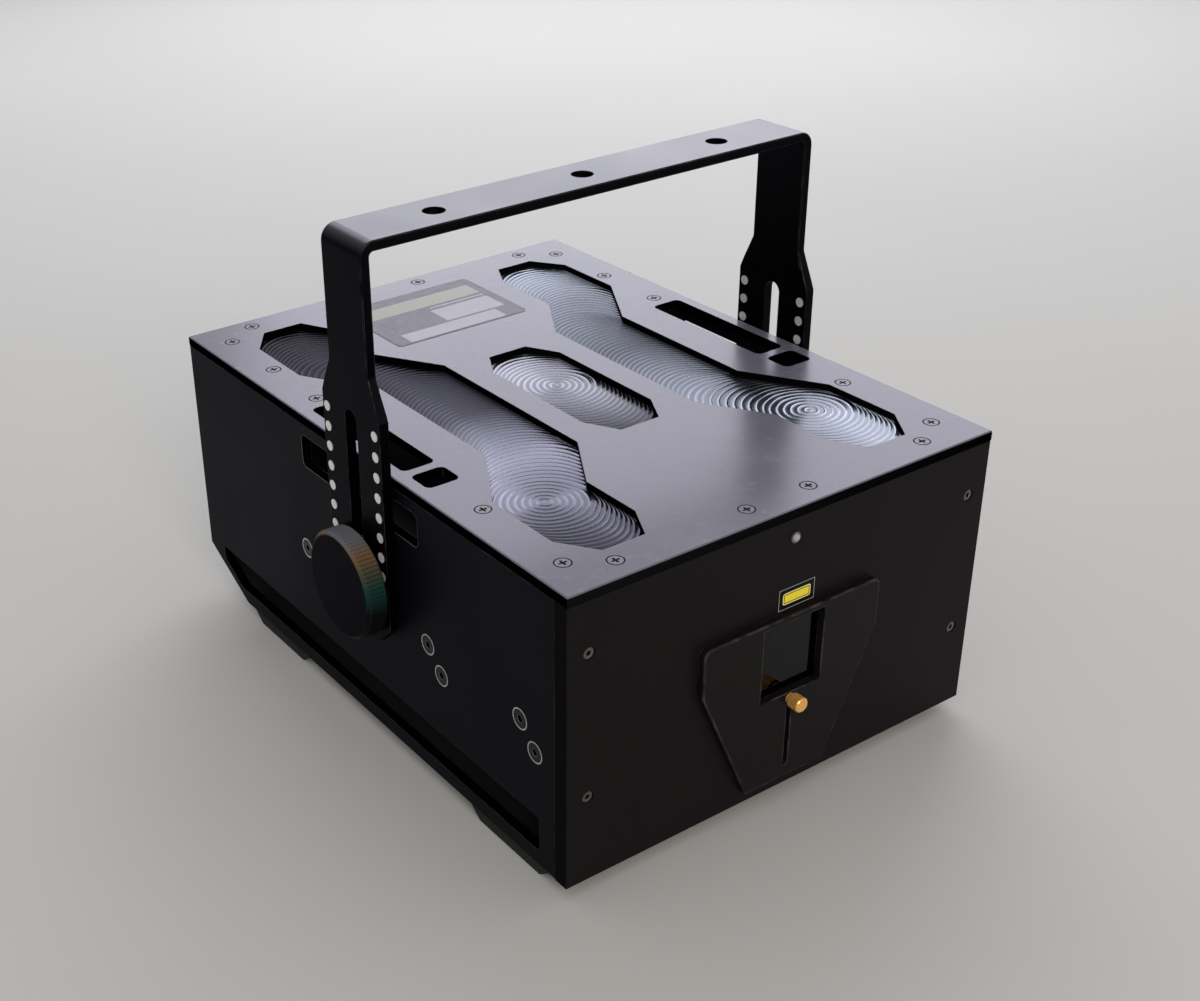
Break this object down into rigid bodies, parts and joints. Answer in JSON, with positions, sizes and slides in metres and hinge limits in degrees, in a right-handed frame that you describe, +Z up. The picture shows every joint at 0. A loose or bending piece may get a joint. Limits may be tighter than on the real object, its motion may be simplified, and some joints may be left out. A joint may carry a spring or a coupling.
{
  "type": "laser show projector",
  "caption": "Low black aluminium laser projector with a milled grey cover, hand holes, a masked exit window, rear fans and sockets, and a slotted U-shaped hanging yoke with clamp knobs.",
  "frame": {"origin": "on the floor under the middle of the box, in the plane of the feet's soles", "axes": "+X to the right as seen from the front, -Y out of the front window, +Z up"},
  "size_m": [0.348, 0.4376, 0.3235],
  "materials": {
    "black_anodised": "satin black anodised",
    "cover_anodised": "satin grey anodised with bare milled pockets",
    "rear_black": "satin black anodised sheet",
    "cup_black": "matt moulded",
    "rail_aluminium": "milled",
    "screw_steel": "zinc plated",
    "side_screw_black": "blackened",
    "foot_rubber": "matt",
    "window_glass": "polished, coated",
    "mask_black": "satin black anodised",
    "thumb_brass": "turned and knurled",
    "pin_steel": "bright",
    "led_lens": "clear lens",
    "marker_yellow": "blank yellow plate with a dark border",
    "yoke_black": "satin black powder coat",
    "guide_plastic": "slippery bearing plastic",
    "knob_black": "turned, fluted rim, black anodised",
    "bench_aluminium": "milled",
    "laser_black": "black anodised",
    "mirror_glass": "coated",
    "flag_metal": "blackened sheet",
    "galvo_steel": "turned",
    "supply_metal": "folded sheet",
    "board_green": "solder mask",
    "black_plastic": "moulded",
    "rocker_red": "moulded",
    "key_chrome": "polished",
    "shell_steel": "tin plated",
    "fan_plastic": "moulded",
    "guard_wire": "plated wire"
  },
  "bodies": {
    "housing": {"front_panel": "black_anodised", "left_side_panel": "black_anodised", "right_side_panel": "black_anodised", "top_cover": "cover_anodised", "rear_panel": "rear_black", "base_tray": "rear_black", "left_hand_cup": "cup_black", "right_hand_cup": "cup_black", "front_cross_rail": "rail_aluminium", "rear_cross_rail": "rail_aluminium", "bench_brackets": "rail_aluminium", "scanner_mount": "rail_aluminium", "combiner_mounts": "rail_aluminium", "cover_screws": "screw_steel", "front_screws": "screw_steel", "rear_screws": "screw_steel", "side_screws": "side_screw_black", "rubber_feet": "foot_rubber", "exit_window": "window_glass", "mask_guide_pins": "pin_steel", "pivot_studs": "pin_steel", "status_led": "led_lens", "marker_plate": "marker_yellow", "optical_bench": "bench_aluminium", "heat_sink": "bench_aluminium", "red_laser": "laser_black", "green_laser": "laser_black", "blue_laser": "laser_black", "shutter_motor": "laser_black", "combiner_mirrors": "mirror_glass", "x_galvo": "galvo_steel", "y_galvo": "galvo_steel", "power_supply": "supply_metal", "scanner_driver": "board_green", "control_board": "board_green", "mains_inlet": "black_plastic", "rocker_frame": "black_plastic", "xlr_sockets": "black_plastic", "key_switch": "key_chrome", "ilda_sockets": "shell_steel", "fan_frames": "fan_plastic", "fan_guards": "guard_wire"},
    "guides": {"yoke_guides": "guide_plastic"},
    "yoke": {"yoke": "yoke_black", "index_pins": "pin_steel"},
    "left_knob": {"left_knob": "knob_black"},
    "right_knob": {"right_knob": "knob_black"},
    "mask": {"mask_plate": "mask_black"},
    "thumb_screw": {"mask_thumb_screw": "thumb_brass"},
    "x_mirror": {"x_galvo_mirror": "mirror_glass"},
    "y_mirror": {"y_galvo_mirror": "mirror_glass"},
    "shutter": {"shutter_flag": "flag_metal"},
    "left_fan": {"left_fan_rotor": "fan_plastic"},
    "right_fan": {"right_fan_rotor": "fan_plastic"},
    "rocker": {"power_rocker": "rocker_red"},
    "key": {"key_barrel": "key_chrome"}
  },
  "joints": [
    {"name": "yoke_tilt", "type": "hinge", "parent": "housing", "child": "guides", "pos_m": [0, -0.021, 0.1165], "axis": [1, 0, 0], "range_deg": [-40, 40]},
    {"name": "yoke_height", "type": "slide", "parent": "guides", "child": "yoke", "axis": [0, 0, 1], "range_m": [-0.08, 0]},
    {"name": "left_knob_turn", "type": "hinge", "parent": "housing", "child": "left_knob", "pos_m": [-0.159, -0.021, 0.1165], "axis": [-1, 0, 0], "range_deg": [0, 360]},
    {"name": "right_knob_turn", "type": "hinge", "parent": "housing", "child": "right_knob", "pos_m": [0.159, -0.021, 0.1165], "axis": [1, 0, 0], "range_deg": [0, 360]},
    {"name": "mask_slide", "type": "slide", "parent": "housing", "child": "mask", "axis": [0, 0, 1], "range_m": [0, 0.04]},
    {"name": "thumb_screw_turn", "type": "hinge", "parent": "housing", "child": "thumb_screw", "pos_m": [0, -0.209, 0.0727], "axis": [0, -1, 0], "range_deg": [0, 360]},
    {"name": "x_mirror_scan", "type": "hinge", "parent": "housing", "child": "x_mirror", "pos_m": [0, -0.152, 0.087], "axis": [0, 1, 0], "range_deg": [-12, 12]},
    {"name": "y_mirror_scan", "type": "hinge", "parent": "housing", "child": "y_mirror", "pos_m": [0.013, -0.165, 0.1], "axis": [1, 0, 0], "range_deg": [-12, 12]},
    {"name": "shutter_swing", "type": "hinge", "parent": "housing", "child": "shutter", "pos_m": [-0.038, -0.116, 0.095], "axis": [0, 1, 0], "range_deg": [0, 50], "stiffness_Nm_per_rad": 0.002, "springref_deg": -28.65},
    {"name": "left_fan_spin", "type": "hinge", "parent": "housing", "child": "left_fan", "pos_m": [-0.095, 0.188, 0.14], "axis": [0, 1, 0], "continuous": true},
    {"name": "right_fan_spin", "type": "hinge", "parent": "housing", "child": "right_fan", "pos_m": [0.095, 0.188, 0.14], "axis": [0, 1, 0], "continuous": true},
    {"name": "power_rocker_tip", "type": "hinge", "parent": "housing", "child": "rocker", "pos_m": [-0.025, 0.2, 0.069], "axis": [1, 0, 0], "range_deg": [0, 16]},
    {"name": "key_turn", "type": "hinge", "parent": "housing", "child": "key", "pos_m": [0.012, 0.2, 0.069], "axis": [0, 1, 0], "range_deg": [0, 90]}
  ]
}
